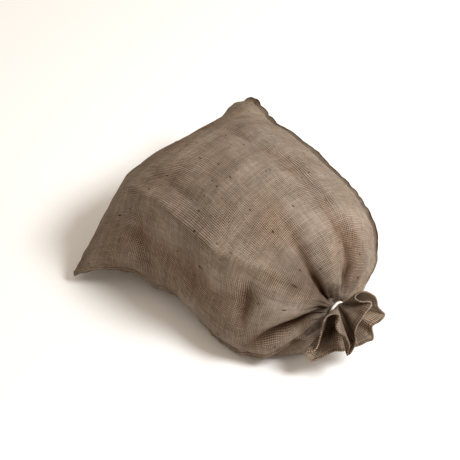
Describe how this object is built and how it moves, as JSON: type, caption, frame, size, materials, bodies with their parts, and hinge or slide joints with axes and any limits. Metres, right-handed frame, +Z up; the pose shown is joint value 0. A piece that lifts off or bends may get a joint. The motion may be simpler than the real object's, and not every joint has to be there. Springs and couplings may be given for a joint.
{
  "type": "hessian sack",
  "caption": "Filled hessian sack lying on its side, bottom corners drawn out as ears, mouth gathered by a narrow white tie and fanned out as a short frill.",
  "frame": {"origin": "on the floor under the middle of the whole outline, taken across both ears and out to the edge of the frill", "axes": "+X from the bottom fold to the tied mouth, +Y towards the far side seam, whose ear stands up in the air, +Z up; the sack rests on z = 0"},
  "size_m": [0.4284, 0.352, 0.2022],
  "materials": {
    "hessian": "coarse open plain weave jute, matt, grey-brown",
    "white_tie": "plain white, semi-matt"
  },
  "bodies": {
    "root": {"sack_cloth": "hessian", "neck_tie": "white_tie"}
  },
  "joints": []
}
